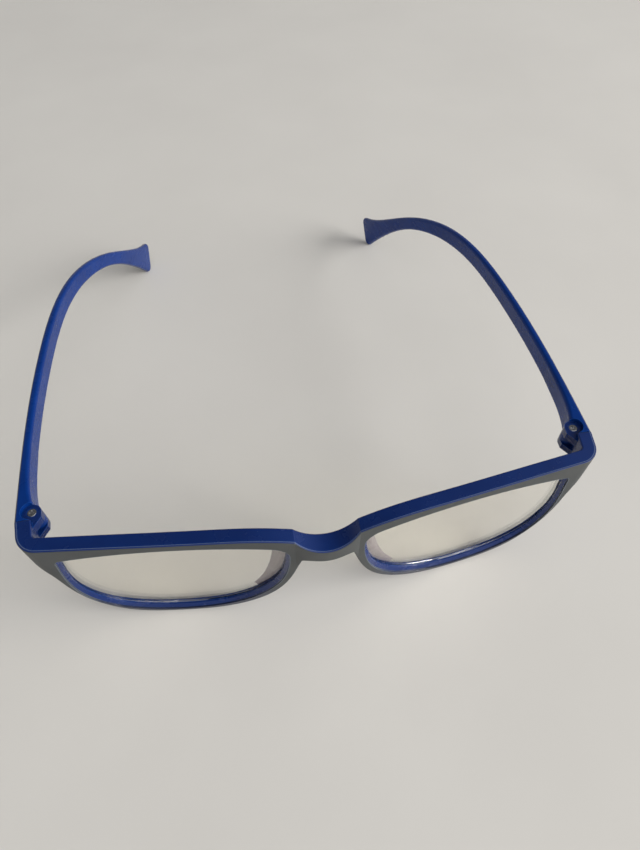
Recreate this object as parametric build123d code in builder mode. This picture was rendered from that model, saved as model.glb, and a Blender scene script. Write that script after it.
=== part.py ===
"""Pair of two-tone moulded spectacles, standing open on the rim bottoms and the temple tips.

+X is the wearer's left, the front faces -Y and +Z is up, in millimetres. The origin is at the
bottom centre of the open pair's bounding box. Points in the front are given in its own tilted
plane: u across, v up and d backwards.
"""

from build123d import *
import os
from math import cos, radians, sin

# Front: place and section
front_y = -72.0  # depth datum of the front
front_z = 18.18  # height of v = 0
front_tilt = 3.1  # the bottom leans towards the face
rim_depth = 3.1  # blue body, front to back
skin = 0.45  # grey outer layer
edge_round = 0.3

# Front: plan view (u, d) of the body's front face
kink = (7.1, -0.1)  # where the rims meet the bridge
rim_middle = (32.0, 3.0)
side_corner = (64.0, 7.5)
side_round = 5.2
side_lean = 0.135  # the endpiece's side widens towards the hinge
back_corner = (61.0, 7.0)
back_round = 1.0
bridge_bow = 2.0
bridge_back_bow = 0.9
plan_reach = 22.0
hinge_face = 13.35  # parting line between endpiece and temple, world depth from the datum

# Front: front view (u, v)
bridge_top = 17.5
bridge_bottom = 12.8
kink_top = 20.4
rim_top = 22.2
endpiece_top = 21.4
aperture_round = (4.3, 1.2)  # upper corners, nasal and temporal
bevel_width = 0.65  # blue bevel round the openings, in front view
bevel_depth = 0.65

# Lenses
lens_front = 1.15  # behind the body's front face
lens_thickness = 1.5
lens_bite = 0.55  # depth of the groove that holds the lens
groove_play = 0.04

# Hinge, heights above the table
hinge_x = 61.93
hinge_y = front_y + 15.67
lug_radius = 2.0
lug_play = 0.1
lug_top = 39.3
knuckle_top = 37.1
knuckle_bottom = 35.3
lug_bottom = 33.5
axial_play = 0.1
screw_radius = 0.6
screw_play = 0.05
screw_head_radius = 1.0
screw_head_height = 0.6
screw_head_round = 0.15
recess_arm = 1.2
recess_width = 0.32
recess_depth = 0.3
bush_radius = 1.15
bush_bore = 0.65
nut_radius = 1.2
nut_height = 0.9

# Temples: plan of the outer face (x, depth), and side view (depth, height)
temple_thickness = 1.95
temple_layer = 0.4  # grey outer layer
temple_front = 13.45
temple_plan = ((65.05, 10.0), (65.6, 40.0), (64.6, 66.5), (59.4, 100.0), (51.2, 123.5), (43.3, 150.0))
temple_boss = ((61.9, 18.2), (62.6, 21.0), (63.3, 27.0), (63.65, 35.0))
temple_top = ((temple_front, 40.35), (35, 40.1), (66, 39.4), (85, 38.3), (101, 35.4), (116, 29.3),
              (131, 19.2), (141.5, 12.2), (148.1, 9.1))
temple_bottom = ((temple_front, 33.6), (35, 34.5), (65, 34.1), (85, 33.1), (101.5, 30.2), (117, 23.9),
                 (130.5, 12.9), (143.6, -1.71))
temple_round = 0.75
tip_round = 2.0

# Nose pads: front view (u, v) of their middle line, and side view (d, v) of their rear edge
pad_line = ((7.6, 10.5), (9.7, 1.5), (15.6, -9.0))
pad_width = 2.5
pad_rear = ((7.6, 12.5), (5.5, 3.0), (4.5, -4.0), (4.6, -13.0))
pad_splay = 23.0

tilt = radians(front_tilt)
front_origin = (0, front_y, front_z)
face_plane = Plane(origin=front_origin, x_dir=(1, 0, 0), z_dir=(0, -cos(tilt), -sin(tilt)))
plan_plane = Plane(origin=front_origin, x_dir=(1, 0, 0), z_dir=(0, -sin(tilt), cos(tilt)))
backward = Vector(0, cos(tilt), sin(tilt))
through = 90.0  # long enough to pass through the glasses
os.makedirs("parts", exist_ok=True)


def plan_region(shift, bow, corner, rounding):
    """Everything behind the front's plan curve, moved back by shift, with rounded corners."""
    corner_d = corner[1] + shift
    with BuildSketch(plan_plane) as region:
        with BuildLine():
            ThreePointArc((-kink[0], kink[1] + shift), (0, kink[1] + shift - bow), (kink[0], kink[1] + shift))
            for side in (-1, 1):
                back_end = side * (corner[0] + side_lean * (plan_reach - corner_d))
                ThreePointArc(
                    (side * kink[0], kink[1] + shift),
                    (side * rim_middle[0], rim_middle[1] + shift),
                    (side * corner[0], corner_d),
                )
                Line((side * corner[0], corner_d), (back_end, plan_reach))
            Line((-abs(back_end), plan_reach), (abs(back_end), plan_reach))
        make_face()
        corners = [v for v in region.vertices() if abs(v.Y - corner_d) < 0.01 and abs(v.X) > kink[0] + 1]
        fillet(corners, rounding)
    return region.sketch


# Front view of the rims, bridge and endpieces
with BuildSketch(face_plane) as front_outline:
    with BuildLine():
        ThreePointArc((0, bridge_top), (4.2, bridge_top + 0.85), (kink[0], kink_top))
        Spline((kink[0], kink_top), (15, 21.9), (28, rim_top), (50, 22.0), (67, endpiece_top))
        Line((67, endpiece_top), (67, 16.2))
        Spline((67, 16.2), (63.6, 13.2), (61.4, 8.8), (60.3, 2.5), (57.3, -8.0), (50, -16.1),
               (38, -18.4), (22.5, -15.8), (13.0, -8.2), (8.4, 1.2), (6.6, 8.0), (5.8, 11.6))
        Spline((5.8, 11.6), (4.6, 12.65), (0, bridge_bottom), tangents=((-0.3, 1), (-1, 0)))
        Line((0, bridge_bottom), (0, bridge_top))
    make_face()
    mirror(about=Plane.YZ)

# Openings for the lenses
with BuildSketch(face_plane) as lens_openings:
    with BuildLine():
        ThreePointArc((9.1, 16.65), (33, 19.35), (57.5, 15.65))
        Spline((57.5, 15.65), (58.3, 7.0), (57.8, -3.0), (54.3, -10.4), (47.5, -15.0), (38, -16.6),
               (27, -15.1), (17.8, -9.9), (12.3, -2.5), (9.9, 5.0), (9.1, 12.0), (9.1, 16.65))
    make_face()
    fillet(lens_openings.vertices().sort_by(Axis.X)[0], aperture_round[0])
    fillet(lens_openings.vertices().sort_by(Axis.X)[-1], aperture_round[1])
    mirror(about=Plane.YZ)

# Cut below the endpieces, in side view (d, v): they narrow from the rims to the hinges
side_plane = Plane(origin=front_origin, x_dir=tuple(backward), z_dir=(1, 0, 0))
with BuildSketch(side_plane) as endpiece_cut:
    with BuildLine():
        Polyline((9.6, 7.0), (11.2, 12.6), (13.0, 14.8), (30, 15.3), (30, -40), (9.6, -40), close=True)
    make_face()

# The whole front, blue body and grey layer together, before it is divided
with BuildPart() as front:
    extrude(plan_region(-skin, bridge_bow, side_corner, side_round), amount=through, both=True)
    extrude(plan_region(rim_depth, bridge_back_bow, back_corner, back_round), amount=through, both=True,
            mode=Mode.SUBTRACT)
    extrude(front_outline.sketch, amount=through, both=True, mode=Mode.INTERSECT)
    extrude(endpiece_cut.sketch, amount=through, both=True, mode=Mode.SUBTRACT)
    split(bisect_by=Plane.XZ.offset(-front_y - hinge_face), keep=Keep.TOP)
    extrude(lens_openings.sketch, amount=through, both=True, mode=Mode.SUBTRACT)
    fillet(front.edges(), edge_round)

# Plan of the blue body, which the grey layer covers at the front and round the corners
body_corner = (side_corner[0] - skin, side_corner[1])
body_region = plan_region(0, bridge_bow, body_corner, side_round - skin)

# The grey layer stops where the bevel round each opening begins
with BuildSketch(face_plane) as bevel_outline:
    offset(lens_openings.sketch_local.faces().sort_by(Axis.X)[-1], amount=bevel_width)
    mirror(about=Plane.YZ)

with BuildPart() as front_skin:
    add(front.part)
    extrude(body_region, amount=through, both=True, mode=Mode.SUBTRACT)
    extrude(bevel_outline.sketch.to_splines(), amount=through, both=True, mode=Mode.SUBTRACT)

# Lens and its groove
with BuildSketch(face_plane) as lens_outline:
    offset(lens_openings.sketch_local.faces().sort_by(Axis.X)[-1], amount=lens_bite)

with BuildSketch(face_plane) as groove_outline:
    offset(lens_openings.sketch_local.faces().sort_by(Axis.X)[-1], amount=lens_bite + groove_play)
    mirror(about=Plane.YZ)

lens_back = lens_front + lens_thickness
with BuildPart() as lens:
    extrude(lens_outline.sketch.to_splines(), amount=through, both=True)
    extrude(plan_region(lens_front, bridge_bow, side_corner, 1), amount=through, both=True,
            mode=Mode.INTERSECT)
    extrude(plan_region(lens_back, bridge_bow, side_corner, 1), amount=through, both=True,
            mode=Mode.SUBTRACT)

with BuildPart() as groove:
    extrude(groove_outline.sketch.to_splines(), amount=through, both=True)
    extrude(plan_region(lens_front - groove_play, bridge_bow, side_corner, 1), amount=through, both=True,
            mode=Mode.INTERSECT)
    extrude(plan_region(lens_back + groove_play, bridge_bow, side_corner, 1), amount=through, both=True,
            mode=Mode.SUBTRACT)

# Hinge lugs of the front: two round ears, each with a web that runs forward into the endpiece
with BuildPart() as lug_pair:
    for low, high in ((lug_bottom, knuckle_bottom - axial_play), (knuckle_top + axial_play, lug_top)):
        with BuildSketch(Plane((hinge_x, hinge_y, low))):
            Circle(lug_radius)
            with BuildLine():
                Polyline((-lug_radius, 0), (-2.1, -1.3), (0.5, -5.7), (lug_radius, -5.7),
                         (lug_radius, -2.4), (-0.1, -2.3), close=True)
            make_face()
        extrude(amount=high - low)

with BuildPart() as front_frame:
    add(front.part)
    extrude(body_region, amount=through, both=True, mode=Mode.INTERSECT)
    rim_faces = front_frame.faces().filter_by(lambda face: face.inner_wires()).sort_by(Axis.Y)[:2]
    for rim_face in rim_faces:
        chamfer(rim_face.inner_wires()[0].edges(), bevel_width, bevel_depth, reference=rim_face)
    add(lug_pair.part)
    mirror(lug_pair.part, about=Plane.YZ)
    add(groove.part, mode=Mode.SUBTRACT)
    for side in (-1, 1):
        with BuildSketch(Plane((side * hinge_x, hinge_y, lug_bottom))):
            Circle(screw_radius + screw_play)
        extrude(amount=lug_top - lug_bottom, mode=Mode.SUBTRACT)
        with BuildSketch(Plane((side * hinge_x, hinge_y, lug_bottom))):
            RegularPolygon(nut_radius, 6)
        extrude(amount=nut_height, mode=Mode.SUBTRACT)
        with BuildSketch(Plane((side * hinge_x, hinge_y, lug_top - screw_head_height))):
            Circle(screw_head_radius + screw_play)
        extrude(amount=screw_head_height, mode=Mode.SUBTRACT)

with BuildPart() as hinge_screw:
    with BuildSketch(Plane((hinge_x, hinge_y, lug_bottom))):
        Circle(screw_radius)
    extrude(amount=lug_top - screw_head_height - lug_bottom)
    with BuildSketch(Plane((hinge_x, hinge_y, lug_top - screw_head_height))):
        Circle(screw_head_radius)
    extrude(amount=screw_head_height)
    fillet(hinge_screw.edges().sort_by(Axis.Z)[-1], screw_head_round)
    with BuildSketch(Plane((hinge_x, hinge_y, lug_top - recess_depth))):
        Rectangle(recess_arm, recess_width)
        Rectangle(recess_width, recess_arm)
    extrude(amount=recess_depth, mode=Mode.SUBTRACT)

with BuildPart() as hinge_nut:
    with BuildSketch(Plane((hinge_x, hinge_y, lug_bottom))):
        RegularPolygon(nut_radius, 6)
        Circle(screw_radius, mode=Mode.SUBTRACT)
    extrude(amount=nut_height)

with BuildPart() as hinge_bush:
    with BuildSketch(Plane((hinge_x, hinge_y, knuckle_bottom))):
        Circle(bush_radius)
        Circle(bush_bore, mode=Mode.SUBTRACT)
    extrude(amount=knuckle_top - knuckle_bottom)


def temple_curve(inset):
    """Plan curve that runs along the temple, set in from its outer face."""
    return Spline(*[(x - inset, front_y + depth) for x, depth in temple_plan])


# Top view of the temple: a thin bar that thickens into a boss at the hinge
with BuildSketch(Plane.XY) as temple_top_view:
    with BuildLine():
        outer = temple_curve(0)
        inner = temple_curve(temple_thickness)
        Line(outer @ 0, inner @ 0)
        Line(outer @ 1, inner @ 1)
    make_face()
    with BuildLine():
        boss = Spline(*[(x, front_y + depth) for x, depth in temple_boss])
        Polyline(boss @ 1, (64.5, front_y + temple_boss[-1][1]), (64.5, front_y + 10),
                 (temple_boss[0][0], front_y + 10), boss @ 0)
    make_face()

with BuildSketch(Plane.XY) as temple_body_view:
    with BuildLine():
        seam = temple_curve(temple_layer)
        Polyline(seam @ 1, (20, (seam @ 1).Y), (20, (seam @ 0).Y), seam @ 0)
    make_face()

with BuildSketch(Plane.YZ) as temple_side_view:
    with BuildLine():
        top_edge = Spline(*[(front_y + depth, height) for depth, height in temple_top])
        bottom_edge = Spline(*[(front_y + depth, height) for depth, height in temple_bottom])
        Line(top_edge @ 0, bottom_edge @ 0)
        Line(top_edge @ 1, bottom_edge @ 1)
    make_face()
    fillet(temple_side_view.vertices().sort_by(Axis.X)[-2:], tip_round)

# The whole temple, body and grey layer together, before it is divided
with BuildPart() as temple_blank:
    extrude(temple_top_view.sketch, amount=through, both=True)
    extrude(temple_side_view.sketch, amount=through, mode=Mode.INTERSECT)
    hinge_end = front_y + temple_front
    fillet(temple_blank.edges().filter_by(lambda edge: edge.center().Y > hinge_end + 0.01), temple_round)

with BuildPart() as temple_skin:
    add(temple_blank.part)
    extrude(temple_body_view.sketch, amount=through, both=True, mode=Mode.SUBTRACT)

with BuildPart() as temple:
    add(temple_blank.part)
    extrude(temple_body_view.sketch, amount=through, both=True, mode=Mode.INTERSECT)
    with BuildSketch(Plane((hinge_x, hinge_y, 30))):
        Circle(lug_radius + lug_play)
    extrude(amount=20, mode=Mode.SUBTRACT)
    with BuildSketch(Plane((hinge_x, hinge_y, knuckle_bottom))):
        Circle(lug_radius)
        with Locations((lug_radius / 2, lug_radius / 2 + 0.4)):
            Rectangle(lug_radius, lug_radius + 0.8)
    extrude(amount=knuckle_top - knuckle_bottom)
    with BuildSketch(Plane((hinge_x, hinge_y, knuckle_bottom))):
        Circle(bush_radius)
    extrude(amount=knuckle_top - knuckle_bottom, mode=Mode.SUBTRACT)

# Nose pad: a soft strip on the back of the rim, splayed to the side of the nose, deepest at its top
with BuildSketch(face_plane) as pad_outline:
    with BuildLine():
        pad_middle = ThreePointArc(*pad_line)
    SlotArc(pad_middle, pad_width)

with BuildSketch(side_plane) as pad_side_view:
    with BuildLine():
        rear = Spline(*pad_rear)
        Polyline(rear @ 1, (0, pad_rear[-1][1]), (0, pad_rear[0][1]), rear @ 0)
    make_face()

splay = radians(pad_splay)
with BuildPart() as nose_pad:
    extrude(pad_outline.sketch, amount=12, dir=Vector(sin(splay), 0, 0) + backward * cos(splay))
    extrude(pad_side_view.sketch, amount=through, mode=Mode.INTERSECT)
    extrude(plan_region(rim_depth, bridge_back_bow, back_corner, back_round), amount=through, both=True,
            mode=Mode.INTERSECT)

front_frame.part.label = "front_frame"
export_step(front_frame.part, "parts/front_frame.step")
front_skin.part.label = "front_skin"
export_step(front_skin.part, "parts/front_skin.step")

# The wearer's left side is built above, and the right side is its mirror image
pairs = {
    "lens": lens,
    "temple": temple,
    "temple_skin": temple_skin,
    "nose_pad": nose_pad,
    "hinge_screw": hinge_screw,
    "hinge_nut": hinge_nut,
    "hinge_bush": hinge_bush,
}
for name, left in pairs.items():
    with BuildPart() as right:
        mirror(left.part, about=Plane.YZ)
    left.part.label = f"{name}_left"
    right.part.label = f"{name}_right"
    export_step(left.part, f"parts/{name}_left.step")
    export_step(right.part, f"parts/{name}_right.step")
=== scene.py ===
"""Two-tone glasses standing open on a pale table: finishes, soft nose pads, light and camera."""

from math import radians

import bpy
from mathutils import Matrix, Vector


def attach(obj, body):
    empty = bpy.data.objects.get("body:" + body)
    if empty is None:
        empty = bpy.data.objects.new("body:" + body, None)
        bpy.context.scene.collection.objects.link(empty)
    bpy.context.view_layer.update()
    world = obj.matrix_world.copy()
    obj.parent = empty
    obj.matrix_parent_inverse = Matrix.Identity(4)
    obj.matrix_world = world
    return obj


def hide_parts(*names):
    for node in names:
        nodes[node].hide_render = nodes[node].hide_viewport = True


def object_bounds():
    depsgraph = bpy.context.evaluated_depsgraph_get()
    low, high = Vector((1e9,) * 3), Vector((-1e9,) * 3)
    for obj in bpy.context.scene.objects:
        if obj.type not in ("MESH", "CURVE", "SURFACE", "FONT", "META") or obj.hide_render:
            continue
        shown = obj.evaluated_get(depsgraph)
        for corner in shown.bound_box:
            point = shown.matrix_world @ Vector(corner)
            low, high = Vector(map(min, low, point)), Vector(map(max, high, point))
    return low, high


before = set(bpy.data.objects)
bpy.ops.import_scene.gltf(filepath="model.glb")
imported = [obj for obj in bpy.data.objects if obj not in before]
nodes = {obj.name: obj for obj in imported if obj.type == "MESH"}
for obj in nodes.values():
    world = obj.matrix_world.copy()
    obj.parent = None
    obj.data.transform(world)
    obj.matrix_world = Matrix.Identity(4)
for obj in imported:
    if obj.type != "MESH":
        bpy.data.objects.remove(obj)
cad_low, cad_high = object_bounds()
centre = (cad_low + cad_high) / 2
MM = 0.001
SIDES = ("left", "right")
# width of the band of painted highlight along sharp edges
HIGHLIGHT_WIDTH = 0.35 * MM
RIM_BOTTOM = (6 * MM, 14 * MM)  # heights over which the grey turns to dark glossy navy going down
RIM_BOTTOM_NAVY = (0.010, 0.016, 0.045)  # dark glossy navy towards the bottoms of the rims


# ---------------------------------------------------------------- node helpers

def new_material(name):
    """An empty node material with a Principled shader wired to its output."""
    material = bpy.data.materials.new(name)
    material.use_nodes = True
    tree = material.node_tree
    shader = tree.nodes["Principled BSDF"]
    return material, tree, shader


def noise(tree, size, detail=4.0, stretch=(1, 1, 1)):
    """Noise with grains of about that size, in metres, fixed to the object."""
    place = tree.nodes.new("ShaderNodeTexCoord")
    mapping = tree.nodes.new("ShaderNodeMapping")
    mapping.inputs["Scale"].default_value = stretch
    texture = tree.nodes.new("ShaderNodeTexNoise")
    texture.inputs["Scale"].default_value = 1 / size
    texture.inputs["Detail"].default_value = detail
    tree.links.new(place.outputs["Object"], mapping.inputs["Vector"])
    tree.links.new(mapping.outputs["Vector"], texture.inputs["Vector"])
    return texture.outputs["Fac"]


def ramp(tree, value, stops):
    """Colour ramp through (position, colour) stops."""
    node = tree.nodes.new("ShaderNodeValToRGB")
    elements = node.color_ramp.elements
    while len(elements) < len(stops):
        elements.new(0.5)
    for element, (position, colour) in zip(elements, stops):
        element.position = position
        element.color = (*colour, 1)
    tree.links.new(value, node.inputs["Fac"])
    return node.outputs["Color"]


def span(tree, value, low, high, source=(0.35, 0.65)):
    """The value, brought from its source range into low to high."""
    node = tree.nodes.new("ShaderNodeMapRange")
    node.inputs["From Min"].default_value = source[0]
    node.inputs["From Max"].default_value = source[1]
    node.inputs["To Min"].default_value = low
    node.inputs["To Max"].default_value = high
    tree.links.new(value, node.inputs["Value"])
    return node.outputs["Result"]


def blend(tree, factor, first, second):
    """Colour mix: first where the factor is 0, second where it is 1."""
    node = tree.nodes.new("ShaderNodeMix")
    node.data_type = "RGBA"
    tree.links.new(factor, node.inputs["Factor"])
    for value, socket in ((first, node.inputs[6]), (second, node.inputs[7])):
        if isinstance(value, tuple):
            socket.default_value = (*value, 1)
        else:
            tree.links.new(value, socket)
    return node.outputs[2]


def bump(tree, shader, height, strength, distance):
    """Bump on the shader's normal."""
    node = tree.nodes.new("ShaderNodeBump")
    node.inputs["Strength"].default_value = strength
    node.inputs["Distance"].default_value = distance
    tree.links.new(height, node.inputs["Height"])
    tree.links.new(node.outputs["Normal"], shader.inputs["Normal"])


def edge_highlight_mask(tree):
    """1 along sharp edges, where a lighter colour is painted on as a highlight."""
    rounded = tree.nodes.new("ShaderNodeBevel")
    rounded.samples = 8
    rounded.inputs["Radius"].default_value = HIGHLIGHT_WIDTH
    geometry = tree.nodes.new("ShaderNodeNewGeometry")
    facing = tree.nodes.new("ShaderNodeVectorMath")
    facing.operation = "DOT_PRODUCT"
    tree.links.new(rounded.outputs["Normal"], facing.inputs[0])
    tree.links.new(geometry.outputs["Normal"], facing.inputs[1])
    return span(tree, facing.outputs["Value"], 1, 0, (0.86, 0.985))


# ------------------------------------------------------------------- materials

def moulded_plastic(name, dark, light, painted_highlight, roughness, grain, specular):
    """Injection-moulded plastic: slight colour drift, fine mould grain, and a painted highlight of lighter
    colour along sharp edges.
    """
    material, tree, shader = new_material(name)
    drift = ramp(tree, noise(tree, 9 * MM), ((0.3, dark), (0.7, light)))
    edges = edge_highlight_mask(tree)
    # painted highlight: a lighter colour blended in along sharp edges
    tree.links.new(blend(tree, edges, drift, painted_highlight), shader.inputs["Base Color"])
    smear = span(tree, noise(tree, 5 * MM, 3, (1, 1, 2.5)), *roughness)
    tree.links.new(smear, shader.inputs["Roughness"])
    bump(tree, shader, noise(tree, grain, 3), 0.12, 0.02 * MM)
    shader.inputs["Specular IOR Level"].default_value = specular
    return material, tree, drift, edges


def face_layer(name, dark, light, painted_highlight, under, roughness, grain, specular):
    """The matt grey layer, letting the blue body show where it faces up and turning dark glossy navy
    towards the bottoms of the rims.
    """
    material, tree, drift, edges = moulded_plastic(name, dark, light, painted_highlight, roughness, grain, specular)
    shader = tree.nodes["Principled BSDF"]
    place = tree.nodes.new("ShaderNodeTexCoord")
    axes = tree.nodes.new("ShaderNodeSeparateXYZ")
    tree.links.new(place.outputs["Object"], axes.inputs["Vector"])
    navy_height, grey_height = (cad_low.z + height for height in RIM_BOTTOM)
    low = span(tree, axes.outputs["Z"], 1, 0, (navy_height, grey_height))
    slope = tree.nodes.new("ShaderNodeSeparateXYZ")
    tree.links.new(place.outputs["Normal"], slope.inputs["Vector"])
    tops = span(tree, slope.outputs["Z"], 0, 1, (0.55, 0.8))
    topped = blend(tree, tops, drift, under)
    # painted highlight: a light blue-grey along the grey layer's sharp edges
    edged = blend(tree, edges, topped, painted_highlight)
    tree.links.new(blend(tree, low, edged, RIM_BOTTOM_NAVY), shader.inputs["Base Color"])
    gloss = span(tree, low, 0.5, 0.22, (0, 1))
    tree.links.new(gloss, shader.inputs["Roughness"])
    return material


def lens_material():
    """Clear polished plastic with a faint warm tint and a faint pink coating reflection."""
    material, tree, shader = new_material("lens_clear")
    tint = ramp(tree, noise(tree, 25 * MM), ((0.3, (0.965, 0.945, 0.885)), (0.7, (0.975, 0.955, 0.90))))
    tree.links.new(tint, shader.inputs["Base Color"])
    tree.links.new(span(tree, noise(tree, 6 * MM, 6), 0.0, 0.035), shader.inputs["Roughness"])
    shader.inputs["Transmission Weight"].default_value = 1
    shader.inputs["IOR"].default_value = 1.5
    shader.inputs["Specular Tint"].default_value = (1.0, 0.86, 0.95, 1)
    clear = tree.nodes.new("ShaderNodeBsdfTransparent")
    clear.inputs["Color"].default_value = (0.93, 0.92, 0.88, 1)
    path = tree.nodes.new("ShaderNodeLightPath")
    mix = tree.nodes.new("ShaderNodeMixShader")
    tree.links.new(path.outputs["Is Shadow Ray"], mix.inputs["Fac"])
    tree.links.new(shader.outputs["BSDF"], mix.inputs[1])
    tree.links.new(clear.outputs["BSDF"], mix.inputs[2])
    tree.links.new(mix.outputs["Shader"], tree.nodes["Material Output"].inputs["Surface"])
    return material


def steel(name, base, roughness):
    """Turned and polished steel with fine scratches."""
    material, tree, shader = new_material(name)
    darker = tuple(0.7 * c for c in base)
    tone = ramp(tree, noise(tree, 0.3 * MM, 6, (1, 8, 1)), ((0.35, darker), (0.65, base)))
    tree.links.new(tone, shader.inputs["Base Color"])
    tree.links.new(span(tree, noise(tree, 0.4 * MM, 5), *roughness), shader.inputs["Roughness"])
    bump(tree, shader, noise(tree, 0.15 * MM, 4, (1, 6, 1)), 0.3, 0.01 * MM)
    shader.inputs["Metallic"].default_value = 1
    return material


def pad_material():
    """Soft, slightly cloudy silicone."""
    material, tree, shader = new_material("pad_silicone")
    cloud = ramp(tree, noise(tree, 2.5 * MM), ((0.3, (0.17, 0.135, 0.155)), (0.7, (0.24, 0.205, 0.245))))
    tree.links.new(cloud, shader.inputs["Base Color"])
    tree.links.new(span(tree, noise(tree, 0.8 * MM), 0.3, 0.5), shader.inputs["Roughness"])
    bump(tree, shader, noise(tree, 0.4 * MM), 0.2, 0.02 * MM)
    shader.inputs["Subsurface Weight"].default_value = 0.5
    shader.inputs["Subsurface Radius"].default_value = (1.2, 1.0, 1.1)
    shader.inputs["Subsurface Scale"].default_value = 1.5 * MM
    shader.inputs["Transmission Weight"].default_value = 0.25
    return material


def table_material():
    """Pale matt table cover with a very faint unevenness."""
    material, tree, shader = new_material("table")
    tone = ramp(tree, noise(tree, 60 * MM, 3), ((0.3, (0.670, 0.645, 0.604)), (0.7, (0.698, 0.673, 0.630))))
    tree.links.new(tone, shader.inputs["Base Color"])
    bump(tree, shader, noise(tree, 12 * MM, 2), 0.15, 0.3 * MM)
    shader.inputs["Roughness"].default_value = 0.75
    shader.inputs["Specular IOR Level"].default_value = 0.12
    return material


def paint(node, material):
    """Gives a CAD node one material."""
    slots = nodes[node].data.materials
    slots.clear()
    slots.append(material)


# the third colour of each plastic is its painted edge highlight
front_blue = moulded_plastic("front_blue", (0.0010, 0.014, 0.095), (0.0014, 0.019, 0.118),
                             (0.008, 0.045, 0.20), (0.20, 0.30), 0.5 * MM, 0.42)[0]
temple_blue = moulded_plastic("temple_blue", (0.0008, 0.023, 0.150), (0.0010, 0.030, 0.190),
                              (0.006, 0.050, 0.24), (0.22, 0.30), 0.5 * MM, 0.2)[0]
grey_face = face_layer("grey_face", (0.042, 0.047, 0.048), (0.056, 0.060, 0.060), (0.14, 0.17, 0.22),
                       (0.0014, 0.019, 0.118), (0.42, 0.58), 0.25 * MM, 0.35)
temple_grey = moulded_plastic("temple_grey", (0.034, 0.038, 0.042), (0.044, 0.049, 0.053),
                              (0.07, 0.078, 0.09), (0.40, 0.55), 0.25 * MM, 0.35)[0]
lens_clear = lens_material()
screw_steel = steel("screw_steel", (0.52, 0.52, 0.53), (0.08, 0.24))
inner_steel = steel("inner_steel", (0.62, 0.62, 0.64), (0.22, 0.40))
silicone = pad_material()

paint("front_frame", front_blue)
paint("front_skin", grey_face)
for side in SIDES:
    paint(f"lens_{side}", lens_clear)
    paint(f"temple_{side}", temple_blue)
    paint(f"temple_skin_{side}", temple_grey)
    paint(f"hinge_screw_{side}", screw_steel)
    paint(f"hinge_nut_{side}", inner_steel)
    paint(f"hinge_bush_{side}", inner_steel)


# ------------------------------------------------------------------- nose pads

def apply_modifiers(piece):
    """Replaces the piece's mesh with its modified mesh."""
    graph = bpy.context.evaluated_depsgraph_get()
    mesh = bpy.data.meshes.new_from_object(piece.evaluated_get(graph))
    piece.modifiers.clear()
    piece.data = mesh


def soft_pad(side):
    """The pad's strip with its edges rounded as cast silicone is."""
    strip = nodes[f"nose_pad_{side}"]
    pad = bpy.data.objects.new(f"soft_pad_{side}", strip.data.copy())
    bpy.context.scene.collection.objects.link(pad)
    remesh = pad.modifiers.new("even", "REMESH")
    remesh.mode = "VOXEL"
    remesh.voxel_size = 0.18 * MM
    smooth = pad.modifiers.new("round", "SMOOTH")
    smooth.factor = 0.5
    smooth.iterations = 24
    bpy.context.view_layer.update()
    apply_modifiers(pad)
    pad.data.materials.clear()
    pad.data.materials.append(silicone)
    pad.data.shade_smooth()
    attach(pad, "front")
    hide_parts(f"nose_pad_{side}")


for side in SIDES:
    soft_pad(side)


# ------------------------------------------------------------ table and lights

def make_table():
    """A large plane under the glasses."""
    reach = 8.0
    mesh = bpy.data.meshes.new("table")
    corners = [(-reach, -reach, 0), (reach, -reach, 0), (reach, reach, 0), (-reach, reach, 0)]
    mesh.from_pydata(corners, [], [(0, 1, 2, 3)])
    table = bpy.data.objects.new("table", mesh)
    table.location = (centre.x, centre.y, cad_low.z)
    bpy.context.scene.collection.objects.link(table)
    mesh.materials.append(table_material())


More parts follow.
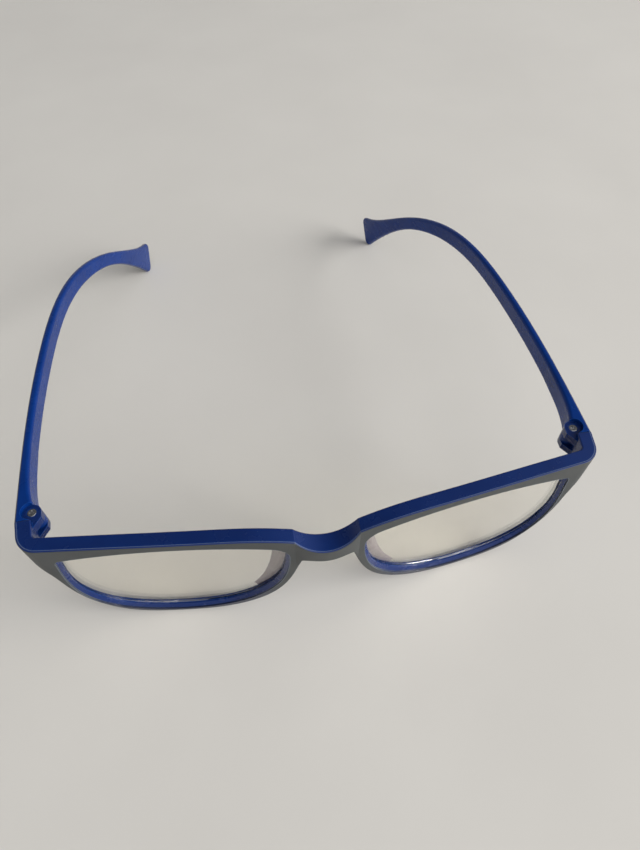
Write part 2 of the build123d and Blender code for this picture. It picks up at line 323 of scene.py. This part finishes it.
def area_light(name, offset, size, power, colour):
    """A rectangular softbox at an offset from the glasses' centre, aimed at them."""
    lamp = bpy.data.lights.new(name, "AREA")
    lamp.shape = "RECTANGLE"
    lamp.size, lamp.size_y = size
    lamp.energy = power
    lamp.color = colour
    light = bpy.data.objects.new(name, lamp)
    light.location = centre + Vector(offset)
    light.rotation_euler = (-Vector(offset)).to_track_quat("-Z", "Y").to_euler()
    bpy.context.scene.collection.objects.link(light)


def room_light():
    """Ambient light: brightest towards the windows at the front right, pale walls, dim above."""
    world = bpy.data.worlds.new("room")
    world.use_nodes = True
    tree = world.node_tree
    place = tree.nodes.new("ShaderNodeTexCoord")
    facing = tree.nodes.new("ShaderNodeVectorMath")
    facing.operation = "DOT_PRODUCT"
    facing.inputs[1].default_value = Vector((0.62, -0.72, 0.3)).normalized()
    tree.links.new(place.outputs["Generated"], facing.inputs[0])
    windows = span(tree, facing.outputs["Value"], 0.14, 1.05, (0.12, 0.95))
    axes = tree.nodes.new("ShaderNodeSeparateXYZ")
    tree.links.new(place.outputs["Generated"], axes.inputs["Vector"])
    walls = span(tree, axes.outputs["Z"], 0.62, 0.14, (0.1, 0.65))
    strength = tree.nodes.new("ShaderNodeMath")
    strength.operation = "MAXIMUM"
    tree.links.new(windows, strength.inputs[0])
    tree.links.new(walls, strength.inputs[1])
    background = tree.nodes["Background"]
    background.inputs["Color"].default_value = (0.97, 0.98, 1.0, 1)
    tree.links.new(strength.outputs["Value"], background.inputs["Strength"])
    bpy.context.scene.world = world


make_table()
area_light("window", (1.8, -0.85, 0.85), (1.5, 1.1), 44.0, (1.0, 0.995, 0.98))
area_light("ceiling", (0.2, -0.75, 1.2), (1.0, 0.8), 2.4, (1.0, 0.99, 0.965))
room_light()
bpy.context.scene.view_settings.view_transform = "Standard"


# ---------------------------------------------------------------------- camera

lens_data = bpy.data.cameras.new("camera")
lens_data.sensor_width = 36
lens_data.lens = 26.61
lens_data.clip_start = 0.01
camera = bpy.data.objects.new("camera", lens_data)
yaw, pitch, roll = radians(-9.5), radians(53.04), radians(-0.91)
aim = Matrix.Rotation(yaw, 4, "Z") @ Matrix.Rotation(radians(90) - pitch, 4, "X")
turn = aim @ Matrix.Rotation(roll, 4, "Z")
eye = Vector((-11.32, -132.99, 158.52)) * MM
camera.matrix_world = Matrix.Translation(eye) @ turn
bpy.context.scene.collection.objects.link(camera)
bpy.context.scene.camera = camera
